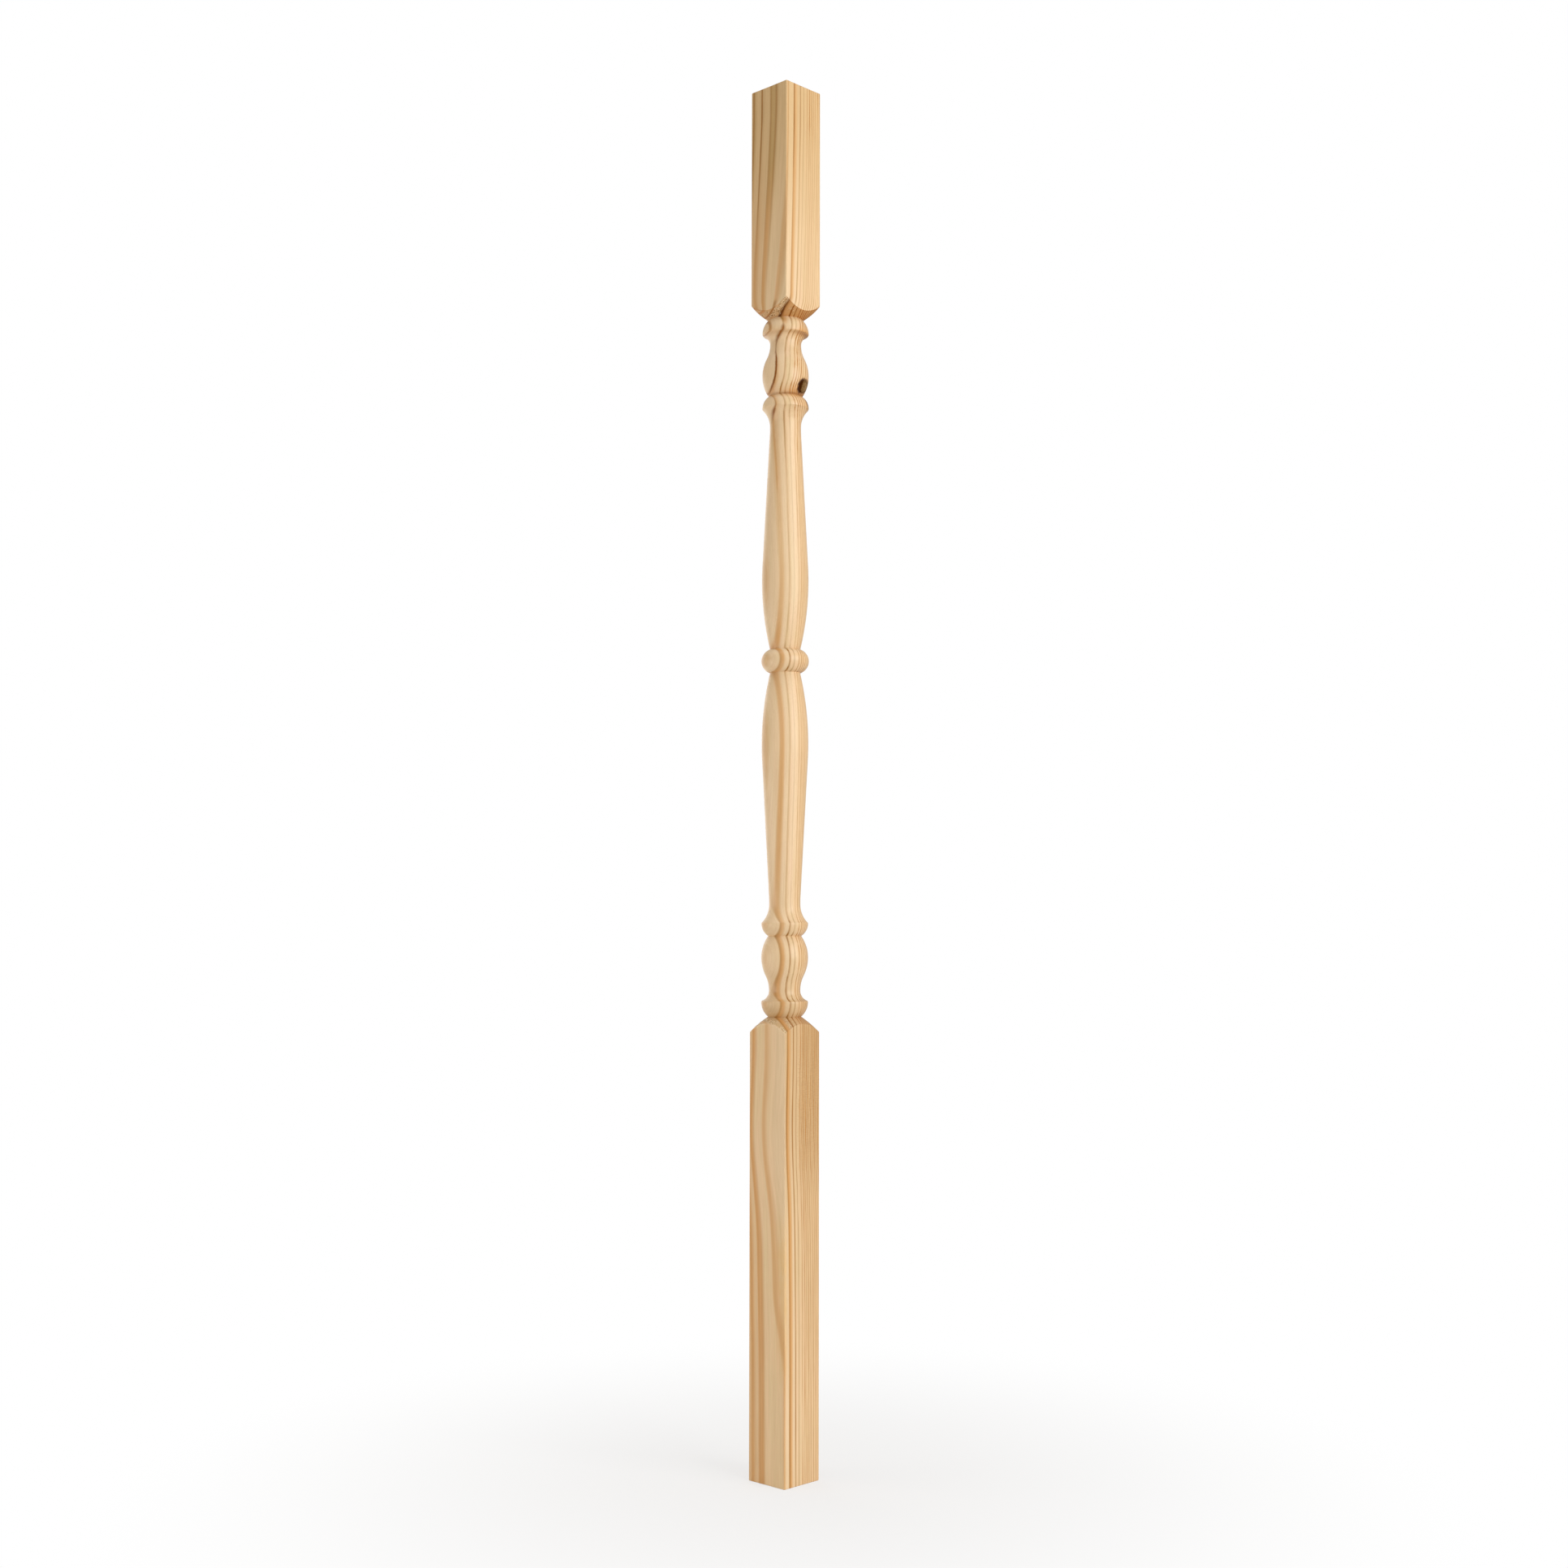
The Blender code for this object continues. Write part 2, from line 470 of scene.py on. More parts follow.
def upright_arc(rise, change, step=ROW_STEP):
    """An arc of radius (rise^2 + change^2) / (2 change), upright at (0, 0), that ends at (rise, change)."""
    radius = (rise * rise + change * change) / (2 * abs(change))
    sweep = math.asin(min(1.0, rise / radius))
    angle = np.linspace(0.0, sweep, max(4, math.ceil(radius * sweep / step)) + 1)
    return radius * np.sin(angle), np.copysign(radius * (1 - np.cos(angle)), change)


class Outline:
    """Half of the turning's outline as heights and radii, from the middle of the ring outwards."""

    def __init__(self, radius):
        self.heights = [0.0]
        self.radii = [radius]

    def extend(self, along, across):
        height, radius = self.heights[-1], self.radii[-1]
        self.heights.extend(height + along[1:])
        self.radii.extend(radius + across[1:])

    def straight(self, rise, radius):
        share = np.linspace(0.0, 1.0, max(1, math.ceil(rise / STRAIGHT_ROW_STEP)) + 1)
        self.extend(rise * share, (radius - self.radii[-1]) * share)

    def leave_upright(self, rise, radius, step=ROW_STEP):
        """An arc that is upright where it starts: a bead from its belly, or a cove from its neck."""
        self.extend(*upright_arc(rise, radius - self.radii[-1], step))

    def arrive_upright(self, rise, radius, step=ROW_STEP):
        """An arc that is upright where it ends: a swell up to its belly, or a hollow down to its neck."""
        start = self.radii[-1]
        along, across = upright_arc(rise, start - radius, step)
        self.extend(rise - along[::-1], radius - start + across[::-1])

    def taper(self, rise, radius, start_ease, end_ease):
        """A straight taper between two upright ends, which it bends into over the two eases."""
        start = self.radii[-1]
        slope = (radius - start) / (rise - (start_ease + end_ease) / 2)
        self.leave_upright(start_ease, start + slope * start_ease / 2)
        self.straight(rise - start_ease - end_ease, radius - slope * end_ease / 2)
        self.arrive_upright(end_ease, radius)

    def ogee(self, rise, radius, hollow_share):
        """A belly's arc that runs into a neck's arc, which takes the given share of the height."""
        start = self.radii[-1]
        full = 1 - hollow_share
        self.leave_upright(rise * full, start + (radius - start) * full)
        self.arrive_upright(rise * hollow_share, radius)

    def bead(self, rise, belly_radius, groove_radius):
        """The eased edge next to a cove, then a quarter round down to its groove."""
        self.arrive_upright(BEAD_EDGE_HEIGHT, belly_radius, BEAD_EDGE_HEIGHT / 4)
        self.leave_upright(rise, groove_radius, ROW_STEP)


def half_outline(sizes):
    """Ring, shaft, inner bead, vase and outer bead of one half, down to the shoulder's groove."""
    belly = sizes.belly_radius
    neck = sizes.neck_radius
    outline = Outline(sizes.ring_radius)
    outline.leave_upright(RING_HEIGHT, RING_GROOVE_RADIUS)
    outline.arrive_upright(SHAFT_SWELL, belly, 2 * ROW_STEP)
    outline.taper(SHAFT_TAPER, neck, BELLY_EASE, NECK_EASE)
    outline.straight(SHAFT_NECK, neck)
    outline.leave_upright(INNER_COVE, belly - BEAD_EDGE_RADIUS)
    outline.bead(INNER_BEAD, belly, BEAD_GROOVE_RADIUS)
    outline.arrive_upright(VASE_SWELL, belly)
    outline.ogee(VASE_TAPER, neck, VASE_NECK_SHARE)
    outline.leave_upright(OUTER_COVE, belly - BEAD_EDGE_RADIUS)
    outline.bead(OUTER_BEAD, belly, BEAD_GROOVE_RADIUS)
    return np.array(outline.heights), np.array(outline.radii)


def shoulder_curve(share):
    """(height above the groove, radius): a chord to the blank's corner, bulged by 4 s (1 - s)."""
    change = CORNER_RADIUS - BEAD_GROOVE_RADIUS
    push = 4 * SHOULDER_BULGE * share * (1 - share) / math.hypot(SHOULDER, change)
    return SHOULDER * share - change * push, BEAD_GROOVE_RADIUS + change * share + SHOULDER * push


def column_angles(sizes):
    """Angles round the axis: even along each face, and closer together over the eased arrises."""
    quarter = math.pi / 2
    half_arris = math.atan2(SECTION / 2, SECTION / 2 - sizes.arris_round) - math.pi / 4
    face_columns = sizes.columns // 4 - ARRIS_COLUMNS
    arris = np.linspace(-half_arris, half_arris, ARRIS_COLUMNS + 1)[:-1]
    face = np.linspace(half_arris, quarter - half_arris, face_columns + 1)[:-1]
    side = np.concatenate([arris, face]) + math.pi / 4
    return np.concatenate([side + quarter * turn for turn in range(4)])


def blank_radius(angles, sizes):
    """Distance from the axis to the square blank: half / cos on the faces, and the circle of each arris."""
    half = SECTION / 2
    centre = half - sizes.arris_round
    along = np.abs(np.cos(angles))
    across = np.abs(np.sin(angles))
    reach = centre * (along + across)
    arris = reach + np.sqrt(np.maximum(sizes.arris_round ** 2 - 2 * centre ** 2 + reach ** 2, 0.0))
    face = half / np.maximum(along, across)
    on_arris = np.minimum(along, across) * face > centre
    return np.where(on_arris, arris, face)


def half_rows(sizes, blank):
    """One half's rows, from the middle of the ring to the crease, where the shoulder meets the blank."""
    heights, radii = half_outline(sizes)
    table = np.linspace(0.0, 1.0, 400)
    crease = np.interp(blank, shoulder_curve(table)[1], table)
    share = np.linspace(0.0, 1.0, SHOULDER_ROWS + 1)[1:, None] * crease
    rise, radius = shoulder_curve(share)
    turned = np.ones((len(heights), len(blank)))
    rows = np.concatenate([heights[:, None] * turned, heights[-1] + rise])
    reach = np.concatenate([radii[:, None] * turned, radius])
    shoulder = np.concatenate([0.0 * turned, share / crease])
    return rows, reach, shoulder


def block_shares(length):
    """Rows along a block, as shares of its length from crease to end: close at the crease, then even."""
    count = math.ceil(length / BLOCK_ROW_STEP)
    near = np.array([0.001, 0.003]) / length
    return np.concatenate([near, np.arange(1, count) / count])


def spindle_grid(sizes):
    """Angles, and grids from pole to pole: height, radius, share up the shoulder, and turned or not."""
    angles = column_angles(sizes)
    blank = blank_radius(angles, sizes)
    heights, radii, shoulder = half_rows(sizes, blank)
    ring = LOWER_BLOCK + half_outline(sizes)[0][-1] + SHOULDER
    lower = ring - heights
    upper = ring + heights * UPPER_SCALE
    low_share = block_shares(LOWER_BLOCK)[::-1, None]
    high_share = block_shares(LENGTH - ring)[:, None]
    edge = (blank - SAW_EDGE)[None]
    cap = np.linspace(0.0, 1.0, CAP_ROWS + 1)[1:-1, None] * edge
    parts = (
        (0.0, cap, 0.0, 0.0),
        (0.0, edge, 0.0, 0.0),
        (SAW_EDGE, blank[None], 0.0, 0.0),
        (lower[-1] * (1 - low_share) + SAW_EDGE * low_share, blank, 0.0, 0.0),
        (lower[::-1], radii[::-1], shoulder[::-1], 1.0),
        (upper[1:], radii[1:], shoulder[1:], 1.0),
        (upper[-1] * (1 - high_share) + (LENGTH - SAW_EDGE) * high_share, blank, 0.0, 0.0),
        (LENGTH - SAW_EDGE, blank[None], 0.0, 0.0),
        (LENGTH, edge, 0.0, 0.0),
        (LENGTH, cap[::-1], 0.0, 0.0),
    )
    rows = zip(*(np.broadcast_arrays(*part) for part in parts))
    return angles, *(np.concatenate(grid) for grid in rows)


def lattice_noise(place, cells, seed):
    """Noise from 0 to 1: random values on a lattice, blended inside each cell by 3 t^2 - 2 t^3."""
    lattice = np.random.default_rng(seed).random((NOISE_LATTICE,) * 3)
    scaled = place / np.array(cells)
    base = np.floor(scaled).astype(int)
    blend = scaled - base
    blend = blend * blend * (3 - 2 * blend)
    total = np.zeros(place.shape[:-1])
    for corner in product((0, 1), repeat=3):
        index = (base + corner) % NOISE_LATTICE
        weight = np.prod(np.where(corner, blend, 1 - blend), axis=-1)
        total += weight * lattice[index[..., 0], index[..., 1], index[..., 2]]
    return total


def smooth_step(value, low, high):
    share = np.clip((value - low) / (high - low), 0.0, 1.0)
    return share * share * (3 - 2 * share)


def bell(value, centre, width):
    return np.exp(-(((value - centre) / width) ** 2))


def heart_sway(x, y, z, step, peak):
    """How far the heart lies towards +Y, for numbers or for channels, with their own step and peak."""
    sway = START_SWAY + LEAN * z
    for rise, start, end in SWAYS:
        sway = sway + rise * step(z, start, end)
    for push, gain_x, gain_y, height, reach in BENDS:
        sway = sway + (push + gain_x * x + gain_y * y) * peak(z, height, reach)
    return sway


def growth_at(x, y, z):
    """How far towards the heart a point lies, in millimetres: HEART_Y less its distance from the heart."""
    return HEART_Y - np.hypot(x - HEART_X, y - HEART_Y - heart_sway(x, y, z, smooth_step, bell))


def torn_grain(place, shoulder):
    """Where the end grain tears, from 0 to 1, and its strokes, from -1 for lifted fibres to 1 for pits."""
    growth = growth_at(*np.moveaxis(place, -1, 0))
    soft = smooth_step(growth, *TORN_RINGS[:2]) * (1 - smooth_step(growth, *TORN_RINGS[2:]))
    for start, _, width in (*STAINS, SIDE_STAIN, STRAY_STAIN, RESIN_STAIN, *WIDE_LINES, *FINE_LINES):
        inside = growth - start
        hard = smooth_step(inside, -0.3, 0.0) * (1 - smooth_step(inside, 0.4 * width, 0.8 * width))
        soft = soft * (1 - hard)
    within = smooth_step(shoulder, 0.04, 0.2) * (1 - 0.6 * smooth_step(shoulder, 0.93, 1.0))
    torn = within * soft * smooth_step(lattice_noise(place, TORN_PATCH, TORN_PATCH_SEED), 0.2, 0.5)
    strokes = lattice_noise(place, TORN_STROKE, TORN_STROKE_SEED)
    signed = smooth_step(strokes, 0.52, 0.72) - smooth_step(-strokes, -0.45, -0.25)
    return torn, signed * torn


def grid_mesh(name, points, bottom, top):
    """A closed skin over a grid of rows from bottom pole to top pole, whose columns run round the axis."""
    rows, columns = points.shape[:2]
    vertices = np.concatenate([points.reshape(-1, 3), [bottom, top]])
    index = np.arange(rows * columns).reshape(rows, columns)
    after = np.roll(index, -1, axis=1)
    quads = np.stack([index[:-1], after[:-1], after[1:], index[1:]], axis=-1).reshape(-1, 4)
    first, last = rows * columns, rows * columns + 1
    low_fan = np.stack([np.full(columns, first), after[0], index[0]], axis=-1)
    high_fan = np.stack([np.full(columns, last), index[-1], after[-1]], axis=-1)
    mesh = bpy.data.meshes.new(name)
    mesh.from_pydata(vertices.tolist(), [], quads.tolist() + low_fan.tolist() + high_fan.tolist())
    mesh.shade_smooth()
    mesh.set_sharp_from_angle(angle=SHARP_ANGLE)
    return mesh


def spindle_mesh(sizes):
    """The surface, x = r cos a and y = r sin a, with torn grain cut into its shoulders.

    Its points also hold the torn grain, its strokes and the turned skin, for the pine.
    """
    angles, height, radius, shoulder, skin = spindle_grid(sizes)
    direction = np.stack([np.cos(angles), np.sin(angles)], axis=-1)
    place = np.concatenate([radius[..., None] * direction, height[..., None]], axis=-1)
    torn, strokes = torn_grain(place * MILLIMETRES, shoulder)
    radius = radius - TORN_DEPTH * strokes
    points = np.concatenate([radius[..., None] * direction, height[..., None]], axis=-1)
    mesh = grid_mesh("turned_spindle", points, (0.0, 0.0, 0.0), (0.0, 0.0, LENGTH))
    for name, values in (("torn_grain", torn), ("torn_strokes", strokes), ("turned_skin", skin)):
        attribute = mesh.attributes.new(name, "FLOAT", "POINT")
        attribute.data.foreach_set("value", np.append(values.ravel(), [0.0, 0.0]).astype(np.float32))
    return mesh


class Grain(Graph):
    """The pine's tree, with the place on the wood, and the growth, noises and masks its parts share."""

    def __init__(self, tree):
        super().__init__(tree)
        self.place = self.vector_math("MULTIPLY", self.coordinates("Object"), (MILLIMETRES,) * 3)
        self.x, self.y, self.z = self.split(self.place)
        self.growth = self.growth_channel()
        self.fibres = self.lumps(FIBRE_CELLS, 3.0, 0.6)
        self.hairs = self.lumps(HAIR_CELLS, 2.0, 0.6)
        self.clouds = self.lumps(CLOUD_CELLS)
        self.blots = self.lumps(BLOT_CELLS, 3.0)
        self.upper = self.above(UPPER_PART)
        self.shaft = self.between(SHAFT)
        self.vase = self.between(UPPER_VASE)
        facing = self.math("ABSOLUTE", self.split(self.coordinates("Normal"))[2])
        self.shoulders = self.below(LOWER_SHOULDER_TOP) + self.above(UPPER_SHOULDER_FOOT)
        self.end_grain = self.smooth(facing, *END_GRAIN_SLOPE) * self.shoulders
        self.steep = self.smooth(facing, *STEEP_SLOPE)

    def growth_channel(self):
        """The shader's copy of growth_at, with a slow wander, and waves about the lower knot."""
        across = self.x - HEART_X
        along = self.y - HEART_Y - heart_sway(self.x, self.y, self.z, self.smooth, self.peak)
        growth = HEART_Y - self.math("SQRT", across * across + along * along)
        wander = self.lumps(WANDER_CELLS, 1.0) * 0.5
        waves = self.lumps(WAVE_CELLS, 1.0) * self.spots(KNOT_WAVES)
        return growth + wander + waves * self.smooth(growth, *WAVY_RINGS)

    def lumps(self, cells, detail=2.0, roughness=0.5):
        """Noise from about -0.25 to 0.25, whose lumps have the given sizes along x, y and z."""
        return self.noise(self.place, cells, detail, roughness) - 0.5

    def above(self, step):
        """0 below a step in height, given as its start and end, and 1 above it."""
        return self.smooth(self.z, *step)

    def below(self, step):
        """1 below a step in height, and 0 above it."""
        return 1 - self.above(step)

    def between(self, stretch):
        """1 over a stretch of height, given as the start and end of its step up and of its step down."""
        return self.above(stretch[:2]) * self.below(stretch[2:])

    def spots(self, spots):
        """Sum of peaks along the height, given as the depth, height and reach of each."""
        return sum(self.peak(self.z, height, reach) * depth for depth, height, reach in spots)

    def heartward(self, step):
        """0 on the bark side of a step in growth, and 1 on its heart side."""
        return self.smooth(self.growth, *step)

    def among(self, stretch):
        """1 over a stretch of growth, given as the start and end of its step up and of its step down."""
        return self.heartward(stretch[:2]) * (1 - self.heartward(stretch[2:]))

    def rings(self, rings, growth=None, ragged=1.0):
        """Bands, one for each ring, that start sharply on the bark side and fade towards the heart.

        They follow the given growth, or else the grain's own, and the fibres make their edges ragged.
        """
        growth = growth or self.growth
        total = 0.0
        for start, depth, width in rings:
            inside = growth - start + self.fibres * (ragged * (0.2 + 0.1 * width))
            edge = 0.14 + 0.08 * width
            fade = 1 - self.smooth(inside, 0.25 * width, width)
            total = self.smooth(inside, -edge, edge) * fade * depth + total
        return total


def ring_stain(grain):
    """Orange stain of the wide rings."""
    strayed = grain.growth - STRAY * grain.below(STRAY_SPAN) - SHAFT_STRAY * grain.shaft
    stray = grain.rings([STRAY_STAIN], strayed) * (1 - 0.45 * grain.between(STRAY_FAINT))
    side = grain.rings([SIDE_STAIN], grain.growth + SIDE_MOVE * grain.upper)
    side = side * (1 - 0.9 * grain.above(SIDE_FADE))
    double = grain.rings([DOUBLE_STAIN]) * (grain.below(DOUBLE_FOOT) + grain.above(DOUBLE_TOP))
    return grain.rings(STAINS) + stray + side + double


def resin_ring(grain):
    """Stain and dark edge of the ring with resin. On the shaft its stain is a band that fades upwards."""
    moved = grain.growth + RESIN_MOVE * grain.above(RESIN_MOVE_SPAN)
    blocks = grain.below(TURNING_FOOT) + grain.above(TURNING_HEAD) - 0.35 * grain.between(UPPER_SHOULDER)
    weak = grain.between(RESIN_WEAK)
    stain = grain.rings([RESIN_STAIN], moved) * blocks * (1.05 - 0.15 * weak)
    along = grain.between(BAND_SPAN) * (1 - 0.45 * grain.above(BAND_FADE))
    band = grain.among(RESIN_BAND) * along * (0.62 + grain.spots(BAND_SPOTS))
    edge = grain.rings([RESIN_EDGE], moved)
    edge = edge * (blocks + 0.75 * grain.between(LOWER_VASE) + grain.spots(RING_EDGE))
    depth = 1.0 - 0.25 * weak + 0.5 * grain.above(EDGE_TOP) + 0.45 * grain.below(EDGE_FOOT)
    return stain + band, edge * (depth + grain.spots(EDGE_SPOTS))


def line_depth(grain, depths):
    """How dark lines are along the height. They are darker where the lathe cut steeply across the grain."""
    places = (1.0, grain.shaft, grain.between(TOP_BLOCK), grain.vase, grain.spots(KNOT_LINES))
    depth = sum(share * place for share, place in zip(depths, places))
    crossed = grain.shoulders + 1.1 * grain.between(LOWER_TURNING) + 0.35 * grain.vase
    return depth + grain.steep * crossed + grain.spots(RING_LINES)


def dark_lines(grain):
    """Dark lines of the wide rings, which come in patches, and of the fine rings, which come in dashes."""
    kinks = 1.0 + grain.spots(KINKS)
    patches = grain.lumps(PATCH_CELLS, 1.0) * 1.5 + 0.95
    dashes = grain.lumps(DASH_CELLS) * 2.2 + 1.0
    wide = grain.rings(WIDE_LINES, ragged=LINE_RAGGED) * patches * line_depth(grain, WIDE_DEPTHS) * kinks
    fine = grain.rings(FINE_LINES, ragged=LINE_RAGGED) * dashes * line_depth(grain, FINE_DEPTHS) * kinks
    top = grain.rings(TOP_LINES) * grain.above(TOP_LINES_START)
    shoulder = grain.rings([SHOULDER_LINE]) * grain.between(SHOULDER_LINE_SPAN)
    shoulder = shoulder * (1.25 + 0.1 * grain.steep * grain.shoulders)
    return wide + top + shoulder, fine


def plain_wood(grain, colours):
    """Wood between the lines: its tint, its pale, dense and golden parts, and its tan towards the top.

    Beside the arris on the +X face, the dense wood is painted shade.
    """
    wood = grain.mix(grain.lumps(TINT_CELLS) * 2.2 + 0.5, colours.olive_wood, colours.pink_wood)
    pale = grain.among(PALE_BY_ARRIS) * 0.6 + grain.among(PALE_BY_RESIN) * 0.7
    wood = grain.mix(pale, wood, colours.pale_wood)
    wood = grain.mix(grain.heartward(INNER_RINGS) * 0.6, wood, colours.heart_wood)
    wood = grain.mix((1 - grain.heartward(BARK_SIDE)) * 0.9, wood, colours.bark_side_wood)
    along = grain.above(DENSE_START) * 0.3 + grain.above(DENSE_REST) * 0.7
    # Towards the bark, beside the arris on the +X face, the brown wood is painted shade
    across = 0.62 + 0.38 * grain.heartward(DENSE_INNER) + 0.28 * (1 - grain.heartward(SHADED_BY_ARRIS))
    dense = along * grain.below(DENSE_END) * grain.smooth(grain.y, *DENSE_FACE) * across
    wood = grain.mix(dense, wood, colours.dense_wood_and_shade)
    golden = grain.peak(grain.growth, *GOLDEN_RING) * grain.between(GOLDEN_SPAN)
    wood = grain.mix(golden * (0.45 + grain.blots), wood, colours.golden_wood)
    return grain.mix(grain.above(TAN_START) * 0.82, wood, colours.tan_wood)


def ringed_wood(grain, colours):
    """The plain wood with the stain and the dark lines of its rings, and how much latewood shows."""
    resin_stain, resin_edge = resin_ring(grain)
    stain = (ring_stain(grain) + resin_stain) * (1.0 - 0.1 * grain.upper - 0.15 * grain.above(TOP_END))
    lines, fine = dark_lines(grain)
    lines = lines + resin_edge
    olive = grain.above(OLIVE_START) * (1 - grain.heartward(OLIVE_SIDE))
    stained = grain.mix(olive, colours.stain, colours.olive_stain)
    wood = grain.mix(stain * (0.92 + grain.clouds * 0.5), plain_wood(grain, colours), stained)
    wood = grain.mix(lines, wood, colours.latewood)
    wood = grain.mix(fine, wood, colours.fine_latewood)
    return wood, grain.clamp(stain * 0.5 + lines + fine)


def resin_thread(grain, wood, colours):
    """Resin along one ring: a pale line up the shaft, then a dark thread with a glow on the upper vase."""
    growth = grain.growth + grain.fibres * 0.6
    pale = grain.peak(growth, PALE_THREAD, 0.38) * grain.between(PALE_THREAD_SPAN)
    wood = grain.mix(pale * 0.7, wood, colours.stain)
    away = growth - RESIN_THREAD + grain.blots * 0.5
    heavy = grain.between(THREAD_HEAVY) * (1 - 0.75 * grain.above(THREAD_THIN))
    glow = grain.smooth(away, -0.9, 0.3) * (1 - grain.smooth(away, 0.4, 3.0))
    glow = glow * (grain.spots(THREAD_WARMTH) + heavy * 0.2) * (1.0 + grain.blots * 2.0)
    wood = grain.mix(glow, wood, colours.resin_glow)
    cove = grain.between(THREAD_COVE)
    spot = grain.spots(THREAD_SPOT)
    width = 0.27 + 0.22 * heavy + 0.75 * cove + 0.5 * spot
    depth = 0.4 * grain.between(THREAD_SPAN) + 0.45 * cove + 0.55 * spot
    depth = depth + heavy * (0.95 + grain.blots * 2.0)
    thread = grain.clamp(grain.peak(away, 0.0, width) * depth)
    return grain.mix(thread, wood, colours.resin), thread


def groove_lines(grain, grooves):
    """Lines that run round the spindle by the grooves, and get deeper towards the heart."""
    total = 0.0
    for height, reach, depth, gain, step in grooves:
        total = grain.peak(grain.z, height, reach) * (depth + gain * grain.heartward(step)) + total
    return total


def groove_resin_and_shade(grain, wood, colours):
    """Warm edges and painted shade by the upper vase's grooves, and the dark patch on the bead under the
    knot.

    The bead's dark patch is partly resin and partly painted shade at its edge, under the groove.
    """
    wood = grain.mix(groove_lines(grain, WARM_EDGES), wood, colours.resin_glow)
    away = grain.vector_math("DISTANCE", grain.place, BEAD_RESIN_AND_SHADE) + grain.blots * 3.0
    glow = (1 - grain.smooth(away, *BEAD_GLOW_REACH)) * grain.between(BEAD_GLOW_SPAN)
    wood = grain.mix(glow * 0.45, wood, colours.resin_glow)
    # Painted shade in the grooves, in the resin's colour
    wood = grain.mix(groove_lines(grain, GROOVE_SHADE), wood, colours.resin)
    # Dark patch at the bead's edge, partly resin and partly painted shade
    resin = (1 - grain.smooth(away, *BEAD_RESIN_AND_SHADE_REACH)) * grain.below(BEAD_RESIN_AND_SHADE_TOP)
    return grain.mix(resin * 0.85, wood, colours.shoulder_resin), resin


def shoulder_wood(grain, wood, colours):
    """The dark line through the upper shoulder, and the darker tone of end grain.

    The end grain's own tone grows towards the heart; on the upper shoulder, which faces down, more of it is
    painted shade.
    """
    resin = grain.peak(grain.growth + grain.fibres, SHOULDER_RESIN, 1.0)
    resin = resin * grain.between(SHOULDER_RESIN_SPAN) * (1 - 0.7 * grain.above(SHOULDER_RESIN_FADE))
    wood = grain.mix(resin, wood, colours.shoulder_resin)
    # Painted shade on the upper shoulder, which faces down, over the end grain's own tone towards the heart
    dark = grain.end_grain * (0.7 * grain.upper + 0.3 * grain.heartward(END_RINGS))
    return grain.mix(dark, wood, grain.mix(1.0, wood, colours.end_grain_and_shade_tone, "MULTIPLY")), resin


def torn_wood(grain, wood, colours):
    """Pits and lifted fibres, where the mesh says that the end grain is torn, and their bumps.

    The pits' dark colour is painted shade, darkest on the upper shoulder, which faces down.
    """
    torn = grain.attribute("torn_grain")
    flecks = grain.lumps(FLECK_CELLS, 1.0) * 5.6 + grain.attribute("torn_strokes") * 0.5
    pits = grain.smooth(flecks, 0.15, 0.7) * torn
    lifted = (1 - grain.smooth(flecks, -0.7, -0.1)) * torn
    # Painted shade in the pits, darkest on the upper shoulder, which faces down
    wood = grain.mix(pits * (0.25 + 0.7 * grain.upper), wood, colours.torn_pit_shade)
    return grain.mix(lifted * 0.55, wood, colours.torn_fibre), lifted - pits * 1.5


def knot_distance(grain, from_tip, radius):
    """Ragged distance outside a rod with a round tip, which points away from the heart of the tree."""
    along = grain.vector_math("DOT_PRODUCT", from_tip, KNOT_AXIS)
    reach = grain.math("MAXIMUM", along, radius)
    foot = grain.node("VectorMath", {"operation": "SCALE"}, {0: KNOT_AXIS, "Scale": reach})
    ragged = grain.lumps(KNOT_EDGE_CELLS, 3.0, 0.6) * 2.2
    return grain.vector_math("DISTANCE", from_tip, foot) - radius + ragged


def knot_wood(grain, tip, radius, wood, colours):
    """A dead knot: black where its bark is thick, round the tip, and brown to grey along its length.

    Returns the wood's colour with the knot in it, the knot's bumps, and where the knot is.
    """
    from_tip = grain.vector_math("SUBTRACT", grain.place, tip)
    _, past_tip, above = grain.split(from_tip)
    outside = knot_distance(grain, from_tip, radius)
    inside = 1 - grain.smooth(outside, *KNOT_WOOD)
    halo = 1 - grain.smooth(outside, *KNOT_HALO)
    streaks = grain.lumps(KNOT_STREAK_CELLS, 3.0, 0.65)
    brown = grain.smooth(past_tip + streaks * 8.0, *KNOT_BROWN)
    grey = grain.smooth(past_tip + streaks * 9.0, *KNOT_GREY)
    heart = grain.mix(brown, colours.knot_dark, colours.knot_brown)
    heart = grain.mix(grey, heart, colours.knot_grey)
    rim = grain.peak(outside, *KNOT_RIM) * (0.85 - 0.4 * grain.smooth(past_tip, *KNOT_RIM_THIN))
    core = grain.smooth(past_tip + above * 0.25, *KNOT_CORE)
    core = core * (1 - grain.smooth(past_tip + streaks * 4.0, *KNOT_CORE_END))
    core = core * (0.7 + 0.3 * grain.peak(above, 0.8, 2.6)) * inside
    seams = (1 - grain.smooth(streaks, -0.2, -0.05)) * inside
    low = 1 - grain.smooth(above, -5.0, 0.0)
    wood = grain.mix(halo * (0.35 + 0.35 * low), wood, colours.resin_glow)
    wood = grain.mix((1 - grain.smooth(outside, -0.6, low * 1.3 + 1.0)) * 0.6, wood, colours.resin)
    wood = grain.mix(inside, wood, heart)
    wood = grain.mix(rim + core * 1.25 + seams * 0.7, wood, colours.bark)
    return wood, inside * 0.3 - rim * 1.5 - seams * 0.6, inside


